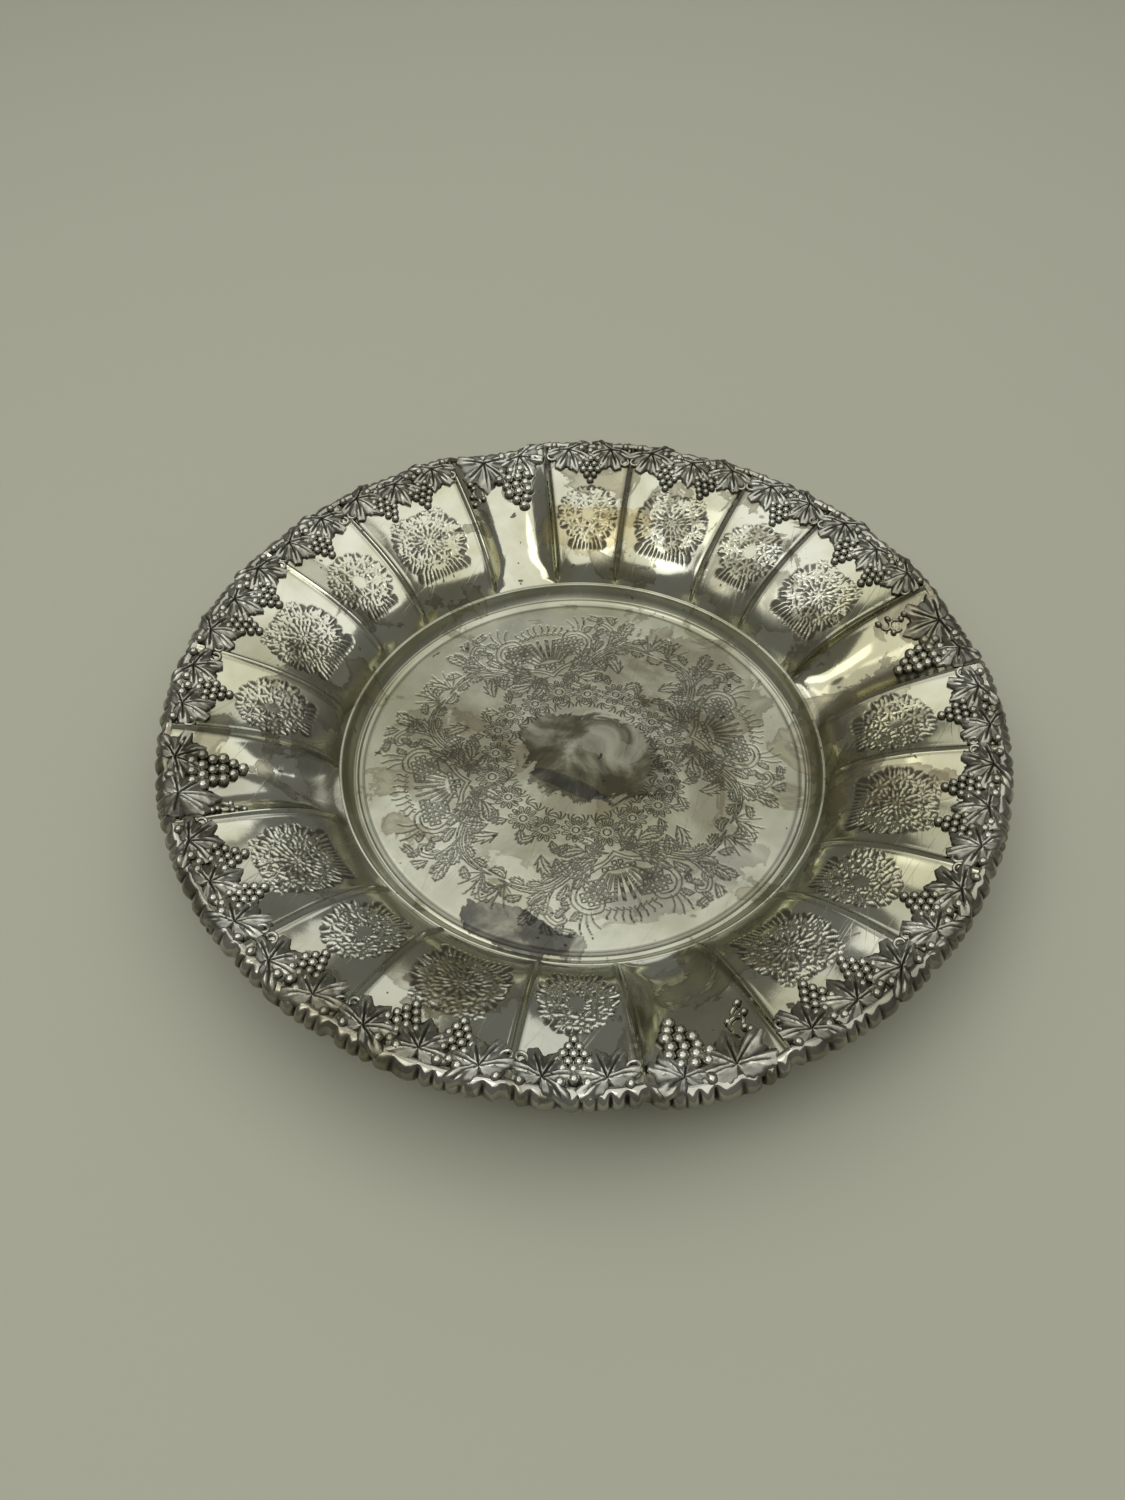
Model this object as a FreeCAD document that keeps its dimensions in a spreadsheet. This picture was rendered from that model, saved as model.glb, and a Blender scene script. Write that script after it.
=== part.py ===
"""Round silver dish: a raised sheet with lobes and ribbed panels, an edge band and cast vine mounts.

Frame: millimetres, +Z up, origin on the table under the middle of the well. One plain lobe points along
+X and the design repeats every quarter turn.
"""
import FreeCAD, Part
import os
from math import atan2, cos, degrees, hypot, radians, sin

V = FreeCAD.Vector
QUARTERS = 4

# Driving dimensions: alias, value, meaning (millimetres and degrees).
SIZES = (
    ("sheet_thickness", 1.2, "thickness of the raised sheet"),
    ("well_radius", 86.5, "radius of the flat well"),
    ("shoulder_radius", 92.5, "radius of the shoulder over the ring mouldings"),
    ("shoulder_rise", 6.0, "height of the shoulder over the well"),
    ("edge_radius", 147.5, "radius of the sheet's edge at a rib"),
    ("edge_rise", 37.7, "height of the sheet's edge over the well, at a rib"),
    ("lobe_span", 17.1, "angle that one plain lobe takes"),
    ("narrow_span", 15.3, "angle that one narrow panel takes"),
    ("lobe_depth", 8.5, "how far a lobe is pushed out from the ribs"),
    ("panel_sag", 2.2, "how far a panel is pushed out from the ribs"),
    ("band_width", 2.6, "radial width of the edge band"),
    ("band_drop", 6.5, "height of the edge band's skirt"),
    ("casting_height", 1.7, "height of a cast leaf over the sheet"),
    ("leaf_length", 9.2, "length of a border leaf from its stalk to its tip"),
    ("big_leaf_length", 13.0, "length of the leaf at a lobe"),
    ("big_leaf_lift", 2.1, "how far the leaf at a lobe stands over the trough"),
    ("grape_radius", 2.0, "radius of a grape of the border"),
    ("big_grape_radius", 2.3, "radius of a grape at a lobe"),
    ("twig_width", 2.0, "width of the twigs that join leaves and bunches"),
)

# Wall between shoulder and edge: share of the run, share of the rise, share of the sag, share of the lobe.
WALL = (
    (0.000, 0.000, 0.00, 0.10),
    (0.042, 0.164, 0.40, 0.62),
    (0.187, 0.448, 0.95, 1.00),
    (0.422, 0.694, 1.00, 1.00),
    (0.733, 0.883, 0.90, 0.80),
    (1.000, 1.000, 0.60, 0.52),
)

# Outline of a vine leaf on one side of its midrib: angle from the tip, share of the length.
HALF_LEAF = ((0, 1.00), (20, 0.68), (47, 0.96), (76, 0.62), (112, 0.84), (150, 0.50))

# Castings. A leaf is placed by its stalk: across the panel and out from the sheet's edge, both in leaf
# lengths, then the way its tip points, in degrees left of outwards. A bunch is placed by its top row and
# grows down the wall: place in leaf lengths, then the grapes of each row.
CASTINGS = {
    "lobe_casting": {
        "leaves": ((-0.36, -0.16, 168), (0.86, -0.10, -150)),
        "bunches": ((0.36, -0.62, (3, 4, 3, 3, 2, 1)),),
    },
    "wide_casting": {
        "leaves": ((-1.90, -0.16, -160), (0.0, -0.20, 180), (1.90, -0.16, 160)),
        "bunches": ((-0.98, -0.62, (2, 3, 2, 1)), (0.98, -0.62, (2, 3, 2, 1))),
    },
    "narrow_casting": {
        "leaves": ((-1.00, -0.16, -155), (1.00, -0.16, 155)),
        "bunches": ((0.05, -0.62, (2, 3, 2, 1)),),
    },
}
GRAPE_PITCH = (1.70, 1.50)  # grape spacing along a row and between rows, in grape radii


def make_sheet(doc):
    """Put the driving dimensions in a spreadsheet, one named cell each."""
    sheet = doc.addObject("Spreadsheet::Sheet", "Sizes")
    for row, (alias, value, meaning) in enumerate(SIZES, 1):
        sheet.set(f"A{row}", meaning)
        sheet.set(f"B{row}", str(value))
        sheet.setAlias(f"B{row}", alias)
    doc.recompute()
    return sheet


class Wall:
    """The upper face of the sheet, as rings that run round the dish from rib to rib."""

    def __init__(self, sheet):
        self.sheet = sheet
        thickness = sheet.sheet_thickness
        run = sheet.edge_radius - sheet.shoulder_radius
        rise = sheet.edge_rise - sheet.shoulder_rise
        wide_span = 360 / QUARTERS / 2 - sheet.lobe_span / 2 - sheet.narrow_span
        self.spans = (sheet.lobe_span, wide_span, sheet.narrow_span, wide_span, sheet.narrow_span)
        half_step = (sheet.shoulder_radius - sheet.well_radius) / 2
        self.moulding = [
            (sheet.well_radius, thickness, 0, 0),
            (sheet.well_radius + half_step, thickness + 0.35 * sheet.shoulder_rise, 0, 0),
            (sheet.shoulder_radius, thickness + sheet.shoulder_rise, 0, WALL[0][3] * sheet.lobe_depth),
        ]
        self.wall = [
            (sheet.shoulder_radius + u * run, thickness + sheet.shoulder_rise + v * rise,
             sag * sheet.panel_sag, lobe * sheet.lobe_depth)
            for u, v, sag, lobe in WALL
        ]

        self.panel_line = self.smooth_line(2)
        self.lobe_line = self.smooth_line(3)

    def smooth_line(self, depth_key, steps=60):
        """Closely spaced (radius, height, depth) points on the spline through the wall's rings."""
        curve = Part.BSplineCurve()
        curve.interpolate([V(ring[0], ring[1], ring[depth_key]) for ring in self.wall])
        return [tuple(curve.value(curve.LastParameter * k / steps)) for k in range(steps + 1)]

    def panels(self):
        """Start angle, end angle and whether it is a lobe, for each panel counter-clockwise."""
        start = -self.sheet.lobe_span / 2
        for _ in range(QUARTERS):
            for index, span in enumerate(self.spans):
                yield start, start + span, index == 0
                start += span

    def normal(self, rings, k):
        """Unit vector in the section that points out of the underside at ring k."""
        before, after = rings[max(k - 1, 0)], rings[min(k + 1, len(rings) - 1)]
        run, rise = after[0] - before[0], after[1] - before[1]
        length = hypot(run, rise)
        return rise / length, -run / length

    def ring(self, rings, k, drop=0.0, out=0.0, up=0.0):
        """Closed wire of one arc per panel, `drop` below the upper face, then moved out and up."""
        radius, height, sag, lobe = rings[k]
        n_out, n_up = (0.0, -1.0) if radius == self.sheet.well_radius else self.normal(rings, k)

        def at(angle, depth):
            reach = radius + (depth + drop) * n_out + out
            return V(reach * cos(radians(angle)), reach * sin(radians(angle)),
                     height + (depth + drop) * n_up + up)

        arcs = []
        for start, end, is_lobe in self.panels():
            middle = at((start + end) / 2, lobe if is_lobe else sag)
            arcs.append(Part.Arc(at(start, 0), middle, at(end, 0)).toShape())
        return Part.Wire(arcs)

    def point(self, angle, radius, span, is_lobe):
        """Point and outward slope of the upper face at an angle from the middle of a panel."""
        line = self.lobe_line if is_lobe else self.panel_line
        inner, outer = next(pair for pair in zip(line, line[1:])
                            if radius <= pair[1][0] or pair[1] is line[-1])
        share = (radius - inner[0]) / (outer[0] - inner[0])
        depth = inner[2] + share * (outer[2] - inner[2])
        depth *= 1 - (2 * angle / span) ** 2
        slope = atan2(outer[1] - inner[1], outer[0] - inner[0])
        reach = radius + depth * sin(slope)
        height = inner[1] + share * (outer[1] - inner[1]) - depth * cos(slope)
        return V(reach * cos(radians(angle)), reach * sin(radians(angle)), height), slope


def solid_from(faces):
    """One closed solid from faces that meet along their edges."""
    shell = Part.makeShell(faces)
    shell.sewShape()
    solid = Part.Solid(shell if shell.ShapeType == "Shell" else shell.Shells[0])
    if solid.Volume < 0:
        solid.reverse()
    return solid


def sheet_solid(wall, under):
    """The raised sheet: well, ring mouldings and wall, from the upper face to the offset `under`."""
    faces = []
    for offset in ((0, 0, 0), under):
        moulding = [wall.ring(wall.moulding, k, *offset) for k in range(len(wall.moulding) - 1)]
        sides = [wall.ring(wall.wall, k, *offset) for k in range(len(wall.wall))]
        faces.append(Part.Face(moulding[0]))
        faces += Part.makeLoft(moulding + sides[:1], False, True).Faces
        faces += Part.makeLoft(sides, False, False).Faces
    last = len(wall.wall) - 1
    edge = [wall.ring(wall.wall, last), wall.ring(wall.wall, last, *under)]
    faces += Part.makeLoft(edge, False, True).Faces
    return solid_from(faces)


def band_solid(wall, under, foot):
    """The edge band: a bead over the sheet's edge and a skirt, whose outside reaches `foot` band widths."""
    width, drop = wall.sheet.band_width, wall.sheet.band_drop
    last = len(wall.wall) - 1
    section = ((0, 0, 0), (0, 0.45 * width, 0.30 * width), (0, width, -0.30 * width),
               (0, foot * width, -drop), (0, 0.45 * width, -drop), under)
    rings = [wall.ring(wall.wall, last, *corner) for corner in section]
    faces = []
    for ring, following in zip(rings, rings[1:] + rings[:1]):
        faces += Part.makeLoft([ring, following], False, True).Faces
    return solid_from(faces)


def add_shape(doc, name, shape):
    """A feature that holds a ready shape."""
    feature = doc.addObject("Part::Feature", name)
    feature.Shape = shape
    return feature


def leaf_points(length):
    """Corners of a vine leaf that points along +Y."""
    right = [(angle, share) for angle, share in HALF_LEAF]
    left = [(-angle, share) for angle, share in reversed(HALF_LEAF[1:])]
    return [V(length * share * sin(radians(angle)), length * share * cos(radians(angle)), 0)
            for angle, share in right + left]


def add_leaf(doc, name, length, root, place):
    """A leaf: its outline as a sketch, extruded up to its height and down into the sheet by its root."""
    sketch = doc.addObject("Sketcher::SketchObject", name + "_outline")
    corners = leaf_points(length)
    for start, end in zip(corners, corners[1:] + corners[:1]):
        sketch.addGeometry(Part.LineSegment(start, end))
    sketch.Placement = place
    leaf = doc.addObject("Part::Extrusion", name)
    leaf.Base = sketch
    leaf.DirMode = "Normal"
    leaf.Solid = True
    leaf.setExpression("LengthFwd", "Sizes.casting_height")
    leaf.setExpression("LengthRev", "Sizes." + root)
    return leaf


def add_grape(doc, name, alias, place):
    """A grape, sunk to just under half in the casting's bed."""
    grape = doc.addObject("Part::Sphere", name)
    grape.Placement = place
    grape.setExpression("Radius", "Sizes." + alias)
    return grape


def add_twig(doc, sheet, name, length, place):
    """A short twig, centred on its place and sunk by half, like the leaves."""
    twig = doc.addObject("Part::Box", name)
    twig.Length = length
    twig.setExpression("Width", "Sizes.twig_width")
    twig.setExpression("Height", "1.7 * Sizes.casting_height")
    corner = V(-length / 2, -sheet.twig_width / 2, -sheet.casting_height)
    twig.Placement = place.multiply(FreeCAD.Placement(corner, FreeCAD.Rotation()))
    return twig


class Casting:
    """One kind of vine casting, built in the panel that has its middle at an angle."""

    def __init__(self, doc, wall, kind, middle):
        self.doc, self.wall, self.kind, self.middle = doc, wall, kind, middle
        sheet = wall.sheet
        self.is_lobe = kind == "lobe_casting"
        self.span = wall.spans[("lobe_casting", "wide_casting", "narrow_casting").index(kind)]
        self.leaf_length = sheet.big_leaf_length if self.is_lobe else sheet.leaf_length
        self.leaf_lift = sheet.big_leaf_lift if self.is_lobe else 0.0
        self.leaf_root = "casting_height + Sizes.big_leaf_lift" if self.is_lobe else "casting_height"
        self.grape_alias = "big_grape_radius" if self.is_lobe else "grape_radius"
        self.grape_radius = getattr(sheet, self.grape_alias)

    def place(self, across, out, turn=0.0, lift=0.0):
        """Placement on the sheet: local Y runs outwards up the wall and local Z leaves the face."""
        radius = self.wall.sheet.edge_radius + out
        angle = -degrees(across / radius)
        point, slope = self.wall.point(angle, radius, self.span, self.is_lobe)
        turned = FreeCAD.Rotation(V(0, 0, 1), self.middle)
        rotation = (turned * FreeCAD.Rotation(V(0, 0, 1), angle - 90)
                    * FreeCAD.Rotation(V(1, 0, 0), degrees(slope))
                    * FreeCAD.Rotation(V(0, 0, 1), turn))
        return FreeCAD.Placement(turned.multVec(point) + rotation.multVec(V(0, 0, lift)), rotation)

    def leaves(self):
        """The leaves of the casting."""
        return [add_leaf(self.doc, f"{self.kind}_leaf_{n}", self.leaf_length, self.leaf_root,
                         self.place(across * self.leaf_length, out * self.leaf_length, turn,
                                    self.leaf_lift))
                for n, (across, out, turn) in enumerate(CASTINGS[self.kind]["leaves"], 1)]

    def grapes(self):
        """The grapes of every bunch, row by row down the wall."""
        along, between = (pitch * self.grape_radius for pitch in GRAPE_PITCH)
        grapes = []
        for across, out, rows in CASTINGS[self.kind]["bunches"]:
            for row, count in enumerate(rows):
                for k in range(count):
                    place = self.place(across * self.leaf_length + (k - (count - 1) / 2) * along,
                                       out * self.leaf_length - row * between,
                                       lift=0.35 * self.grape_radius)
                    name = f"{self.kind}_grape_{len(grapes) + 1}"
                    grapes.append(add_grape(self.doc, name, self.grape_alias, place))
        return grapes

    def twigs(self):
        """Twigs between each leaf's stalk and the bunch beside it."""
        stops = sorted((item[0] * self.leaf_length, item[1] * self.leaf_length)
                       for group in CASTINGS[self.kind].values() for item in group)
        twigs = []
        for (x1, y1), (x2, y2) in zip(stops, stops[1:]):
            place = self.place((x1 + x2) / 2, (y1 + y2) / 2, degrees(atan2(y2 - y1, x2 - x1)))
            twigs.append(add_twig(self.doc, self.wall.sheet, f"{self.kind}_twig_{len(twigs) + 1}",
                                  hypot(x2 - x1, y2 - y1), place))
        return twigs

    def build(self, seat):
        """The whole casting, cut to the sheet and the band that it is soldered on."""
        blank = self.doc.addObject("Part::MultiFuse", self.kind + "_blank")
        blank.Shapes = self.leaves() + self.grapes() + self.twigs()
        casting = self.doc.addObject("Part::Cut", self.kind + "_1")
        casting.Base = blank
        casting.Tool = seat
        return casting


def main():
    doc = FreeCAD.newDocument("grapevine_dish")
    sheet = make_sheet(doc)
    wall = Wall(sheet)
    underside = (sheet.sheet_thickness, 0, 0)
    body = add_shape(doc, "dish_body", sheet_solid(wall, underside))
    band = add_shape(doc, "edge_band", band_solid(wall, underside, 0.85))
    nodes = [body, band]

    deep = (0, 0, -4 * sheet.casting_height)
    deep_sheet = add_shape(doc, "deep_sheet", sheet_solid(wall, deep))
    deep_band = add_shape(doc, "deep_band", band_solid(wall, deep, 3.0))
    seat = doc.addObject("Part::MultiFuse", "casting_seat")
    seat.Shapes = [deep_sheet, deep_band]

    kinds = ("lobe_casting", "wide_casting", "narrow_casting", "wide_casting", "narrow_casting")
    made = {kind: [] for kind in CASTINGS}
    for index, (start, end, _) in enumerate(wall.panels()):
        kind, middle = kinds[index % len(kinds)], (start + end) / 2
        if made[kind]:
            first, first_middle = made[kind][0]
            casting = add_shape(doc, f"{kind}_{len(made[kind]) + 1}", first.Shape.copy())
            turn = FreeCAD.Rotation(V(0, 0, 1), middle - first_middle)
            casting.Placement = FreeCAD.Placement(V(0, 0, 0), turn)
        else:
            casting = Casting(doc, wall, kind, middle).build(seat)
            doc.recompute()
        made[kind].append((casting, middle))
        nodes.append(casting)
    doc.recompute()

    for node in nodes:
        node.Label = node.Name
    broken = [obj.Name for obj in doc.Objects if {"Invalid", "Error"} & set(obj.State)]
    assert not broken, f"failed objects: {broken}"
    os.makedirs("parts", exist_ok=True)
    for node in nodes:
        shape = node.Shape
        assert not shape.isNull() and shape.isValid(), f"bad shape: {node.Label}"
        assert len(shape.Solids) == 1 and shape.Volume > 0, f"{node.Label}: {len(shape.Solids)} solids"
        shape.exportStep(f"parts/{node.Label}.step")
    box = nodes[0].Shape.BoundBox
    for node in nodes[1:]:
        box.add(node.Shape.BoundBox)
    print("nodes", len(nodes), "box", [round(v, 3) for v in (box.XMin, box.XMax, box.YMin, box.YMax,
                                                              box.ZMin, box.ZMax)])


main()
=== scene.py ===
"""A round silver dish: chased wall with lobes and ribs, engraved well, edge band and cast vine border."""

import logging
from collections.abc import Iterator
from contextlib import contextmanager
from dataclasses import dataclass, field
from enum import Enum
from math import cos, pi, radians, sin, tau

import bpy
import numpy as np
from mathutils import Matrix, Vector


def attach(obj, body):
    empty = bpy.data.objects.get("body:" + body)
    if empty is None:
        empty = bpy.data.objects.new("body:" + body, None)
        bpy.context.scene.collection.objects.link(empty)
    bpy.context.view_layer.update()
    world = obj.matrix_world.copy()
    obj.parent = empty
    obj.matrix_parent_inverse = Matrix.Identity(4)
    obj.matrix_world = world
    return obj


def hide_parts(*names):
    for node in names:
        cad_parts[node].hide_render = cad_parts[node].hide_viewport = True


log = logging.getLogger("dish")
MM = 0.001
QUARTERS = 4

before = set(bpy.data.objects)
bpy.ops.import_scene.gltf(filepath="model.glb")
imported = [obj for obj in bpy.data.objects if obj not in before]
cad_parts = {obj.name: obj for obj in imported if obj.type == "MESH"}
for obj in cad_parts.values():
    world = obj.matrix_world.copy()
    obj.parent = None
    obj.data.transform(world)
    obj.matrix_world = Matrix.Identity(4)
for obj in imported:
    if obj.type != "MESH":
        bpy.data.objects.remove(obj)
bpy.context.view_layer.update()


# ---------------------------------------------------------------- modelling bench

def clear_selection() -> None:
    """Leave object mode with nothing selected."""
    if bpy.context.object and bpy.context.object.mode != "OBJECT":
        bpy.ops.object.mode_set(mode="OBJECT")
    bpy.ops.object.select_all(action="DESELECT")


def take(piece: bpy.types.Object) -> bpy.types.Object:
    """Make one object the only selected and the active one.

    Args:
        piece: the object to work on.

    Returns:
        The same object.
    """
    clear_selection()
    piece.select_set(True)
    bpy.context.view_layer.objects.active = piece
    return piece


def named(name: str) -> bpy.types.Object:
    """Name the primitive that was just added, and its mesh."""
    piece = bpy.context.object
    piece.name = piece.data.name = name
    return piece


def points_of(piece: bpy.types.Object) -> np.ndarray:
    """The vertices of a mesh object as rows of x, y, z."""
    flat = np.empty(3 * len(piece.data.vertices))
    piece.data.vertices.foreach_get("co", flat)
    return flat.reshape(-1, 3)


def set_points(piece: bpy.types.Object, points: np.ndarray) -> None:
    """Move the vertices of a mesh object to new places, given as rows of x, y, z."""
    piece.data.vertices.foreach_set("co", np.ascontiguousarray(points, dtype=np.float64).ravel())
    piece.data.update()


def set_oxide_and_shade(piece: bpy.types.Object, oxide_and_shade: np.ndarray) -> None:
    """Store on each vertex how dark it is painted, from 0 to 1: oxide in the hollows of the relief, and
    painted shade on undersides and in shadow gaps.
    """
    layer = piece.data.attributes.get("oxide_and_shade")
    layer = layer or piece.data.attributes.new("oxide_and_shade", "FLOAT", "POINT")
    layer.data.foreach_set("value", np.clip(oxide_and_shade, 0, 1).astype(np.float32))


def oxide_and_shade_of(piece: bpy.types.Object) -> np.ndarray:
    """How dark each vertex is painted: oxide in hollows and painted shade."""
    oxide_and_shade = np.empty(len(piece.data.vertices), dtype=np.float32)
    piece.data.attributes["oxide_and_shade"].data.foreach_get("value", oxide_and_shade)
    return oxide_and_shade


def grid(name: str, columns: int, rows: int) -> tuple[bpy.types.Object, np.ndarray, np.ndarray]:
    """Add a flat grid.

    Args:
        name: name of the object.
        columns: number of faces along X.
        rows: number of faces along Y.

    Returns:
        The object, and the column and row number of each vertex.
    """
    clear_selection()
    bpy.ops.mesh.primitive_grid_add(x_subdivisions=columns, y_subdivisions=rows, size=1)
    piece = named(name)
    points = points_of(piece)
    return (piece, np.rint((points[:, 0] + 0.5) * columns).astype(int),
            np.rint((points[:, 1] + 0.5) * rows).astype(int))


@contextmanager
def editing(piece: bpy.types.Object) -> Iterator[None]:
    """Hold a piece in edit mode while its mesh is worked on."""
    take(piece)
    bpy.ops.object.mode_set(mode="EDIT")
    yield
    bpy.ops.object.mode_set(mode="OBJECT")


def drop_rim(depth: float) -> None:
    """Extrude the open rim of the mesh that is being edited straight down."""
    bpy.ops.mesh.select_mode(type="EDGE")
    bpy.ops.mesh.select_all(action="DESELECT")
    bpy.ops.mesh.select_non_manifold()
    bpy.ops.mesh.extrude_region_move(TRANSFORM_OT_translate={"value": (0, 0, -depth)})


def face_outwards() -> None:
    """Turn all faces of the mesh that is being edited outwards."""
    bpy.ops.mesh.select_all(action="SELECT")
    bpy.ops.mesh.normals_make_consistent(inside=False)


def join(pieces: list[bpy.types.Object], name: str) -> bpy.types.Object:
    """Join mesh objects into one, with their places in its mesh."""
    clear_selection()
    for piece in pieces:
        piece.select_set(True)
    bpy.context.view_layer.objects.active = pieces[0]
    bpy.ops.object.transform_apply(location=True, rotation=True, scale=True)
    if len(pieces) > 1:
        bpy.ops.object.join()
    return named(name)


def smooth(low: float, high: float, value: np.ndarray) -> np.ndarray:
    """Smooth step from 0 at low to 1 at high."""
    t = np.clip((value - low) / (high - low), 0, 1)
    return t * t * (3 - 2 * t)


def polar(radius: np.ndarray, angle: np.ndarray, height: np.ndarray) -> np.ndarray:
    """Rows of x, y, z at radii, angles and heights."""
    return np.stack([radius * np.cos(angle), radius * np.sin(angle), height], axis=-1)


def around(x: float, y: float, reach: np.ndarray | float, angle: np.ndarray) -> np.ndarray:
    """Rows of x, y at a reach and angles round a place."""
    return np.stack([x + reach * np.cos(angle), y + reach * np.sin(angle)], axis=1)


def curve_through(rows: np.ndarray, knots: np.ndarray, at: np.ndarray) -> np.ndarray:
    """A smooth curve through rows of values.

    Args:
        rows: the values that it passes through.
        knots: where each row sits along it.
        at: where it is read.

    Returns:
        A row of values for each place in at.
    """
    slopes = np.gradient(rows, knots, axis=0)
    k = np.clip(np.searchsorted(knots, at, side="right") - 1, 0, len(knots) - 2)
    gap = (knots[k + 1] - knots[k])[:, None]
    t = (at[:, None] - knots[k][:, None]) / gap
    return ((1 + 2 * t) * (1 - t) ** 2 * rows[k] + t * (1 - t) ** 2 * gap * slopes[k]
            + t * t * (3 - 2 * t) * rows[k + 1] - t * t * (1 - t) * gap * slopes[k + 1])


# ---------------------------------------------------------------- the form of the dish

class Panel(Enum):
    """The three kinds of panel in the wall."""

    LOBE = "lobe"
    NARROW = "narrow"
    WIDE = "wide"


CLOCKWISE = (Panel.LOBE, Panel.NARROW, Panel.WIDE, Panel.NARROW, Panel.WIDE)


@dataclass(frozen=True)
class Form:
    """Sizes of the raised sheet, in millimetres and degrees, heights over the table."""

    thickness: float = 1.2
    well_radius: float = 86.5
    shoulder_radius: float = 92.5
    shoulder_rise: float = 6.0
    edge_radius: float = 147.5
    edge_rise: float = 37.7
    lobe_span: float = 17.1
    narrow_span: float = 15.3
    lobe_depth: float = 8.5
    panel_sag: float = 2.2
    roll_radius: float = 2.2
    rib_height: float = 0.7
    wall: tuple = ((0.0, 0.0, 0.0, 0.10), (0.042, 0.164, 0.40, 0.62), (0.187, 0.448, 0.95, 1.0),
                   (0.422, 0.694, 1.0, 1.0), (0.733, 0.883, 0.90, 0.80), (1.0, 1.0, 0.60, 0.52))

    def span(self, panel: Panel) -> float:
        """Angle that a kind of panel takes, in degrees."""
        wide = 45 - self.lobe_span / 2 - self.narrow_span
        return {Panel.LOBE: self.lobe_span, Panel.NARROW: self.narrow_span, Panel.WIDE: wide}[panel]

    def line(self) -> dict[str, np.ndarray]:
        """The wall's section, from the shoulder to the edge and on over the rolled edge.

        Returns:
            Arrays of arc length, radius, height, panel depth, lobe depth and the slope that
            panels and lobes are pushed out from, keyed by a letter or name.
        """
        rows = np.array([(self.shoulder_radius + u * (self.edge_radius - self.shoulder_radius),
                          self.thickness + self.shoulder_rise + v * (self.edge_rise - self.shoulder_rise),
                          sag * self.panel_sag, lobe * self.lobe_depth) for u, v, sag, lobe in self.wall])
        knots = np.concatenate(([0], np.cumsum(np.hypot(*np.diff(rows[:, :2], axis=0).T))))
        curve = curve_through(rows, knots, np.linspace(0, knots[-1], 241))
        tilt = np.arctan2(curve[-1, 1] - curve[-3, 1], curve[-1, 0] - curve[-3, 0])
        turn = np.linspace(0, tilt + pi / 2, 25)[1:]
        roll = np.stack([curve[-1, 0] + self.roll_radius * (np.sin(turn - tilt) + np.sin(tilt)),
                         curve[-1, 1] + self.roll_radius * (np.cos(turn - tilt) - np.cos(tilt)),
                         np.full(24, curve[-1, 2]), np.full(24, curve[-1, 3])], axis=1)
        skirt = np.repeat(roll[-1:], 12, axis=0)
        skirt[:, 1] -= np.linspace(0.4, 4.8, 12)
        whole = np.concatenate((curve, roll, skirt))
        length = np.concatenate(([0], np.cumsum(np.hypot(*np.diff(whole[:, :2], axis=0).T))))
        slope = np.unwrap(np.arctan2(np.gradient(whole[:, 1], length), np.gradient(whole[:, 0], length)))
        return {"s": length, "r": whole[:, 0], "z": whole[:, 1], "panel": whole[:, 2],
                "lobe": whole[:, 3], "push": np.where(length <= knots[-1] + 0.01, slope, tilt)}


@dataclass
class Wall:
    """The upper face of the wall, by panel, place across and place along the section."""

    form: Form = field(default_factory=Form)
    seam_run: float = 0.9

    def __post_init__(self) -> None:
        """Work out the section once."""
        self.section = self.form.line()
        edge = np.argmin(np.abs(self.section["r"] - self.form.edge_radius))
        self.edge_s = float(self.section["s"][edge])

    def radius(self, along: np.ndarray) -> np.ndarray:
        """Radius of the ribs at a place along the section."""
        return np.interp(along, self.section["s"], self.section["r"])

    def face(self, panel: Panel, middle: float, share: np.ndarray, along: np.ndarray) -> np.ndarray:
        """Points of the upper face.

        Args:
            panel: the kind of panel.
            middle: angle of the panel's middle, in degrees.
            share: place across, from -1 at one rib to 1 at the next one clockwise.
            along: arc length from the shoulder, in millimetres.

        Returns:
            Rows of x, y, z in millimetres.
        """
        part = self.section
        radius = np.interp(along, part["s"], part["r"])
        height = np.interp(along, part["s"], part["z"])
        push = np.interp(along, part["s"], part["push"])
        power = 2.6 if panel is Panel.LOBE else 2.0
        depth = np.interp(along, part["s"], part["lobe" if panel is Panel.LOBE else "panel"])
        depth = depth * (1 - np.clip(np.abs(share), 0, 1.4) ** power)
        depth = depth * np.clip(along / self.seam_run, 0, 1)
        reach = radius + depth * np.sin(push)
        height = height - depth * np.cos(push)
        angle = np.radians(middle - share * self.form.span(panel) / 2)
        return polar(reach, angle, height)

    def lift(self, panel: Panel, middle: float, share: np.ndarray, along: np.ndarray,
             height: np.ndarray) -> np.ndarray:
        """Points at a height over the upper face, along its own normal."""
        here = self.face(panel, middle, share, along)
        across = self.face(panel, middle, share + 0.004, along) - here
        outward = self.face(panel, middle, share, along + 0.05) - here
        normal = np.cross(across, outward)
        normal /= np.linalg.norm(normal, axis=1, keepdims=True)
        return here + normal * height[:, None]


def panel_middles(form: Form) -> list[tuple[Panel, float]]:
    """Each panel of the dish with the angle of its middle, clockwise from the lobe on +X."""
    found, angle = [], form.lobe_span / 2
    for _ in range(QUARTERS):
        for panel in CLOCKWISE:
            found.append((panel, angle - form.span(panel) / 2))
            angle -= form.span(panel)
    return found


# ---------------------------------------------------------------- chasing and engraving

@dataclass(frozen=True)
class Blossom:
    """A small flower punched up from the back."""

    x: float
    y: float
    radius: float
    petals: int = 6
    turn: float = 0.0

    def height(self, x: np.ndarray, y: np.ndarray) -> np.ndarray:
        """Height from 0 to 1 at flat places."""
        out = np.hypot(x - self.x, y - self.y) / self.radius
        angle = np.arctan2(y - self.y, x - self.x) - self.turn
        rim = 0.58 + 0.42 * np.abs(np.cos(self.petals * angle / 2)) ** 0.6
        petal = np.sqrt(np.clip(1 - (out / rim) ** 2, 0, 1)) * (0.55 + 0.45 * (out / rim))
        button = np.sqrt(np.clip(1 - (out / 0.26) ** 2, 0, 1))
        return np.where(out < 0.30, np.maximum(button, 0.25), petal)


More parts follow.
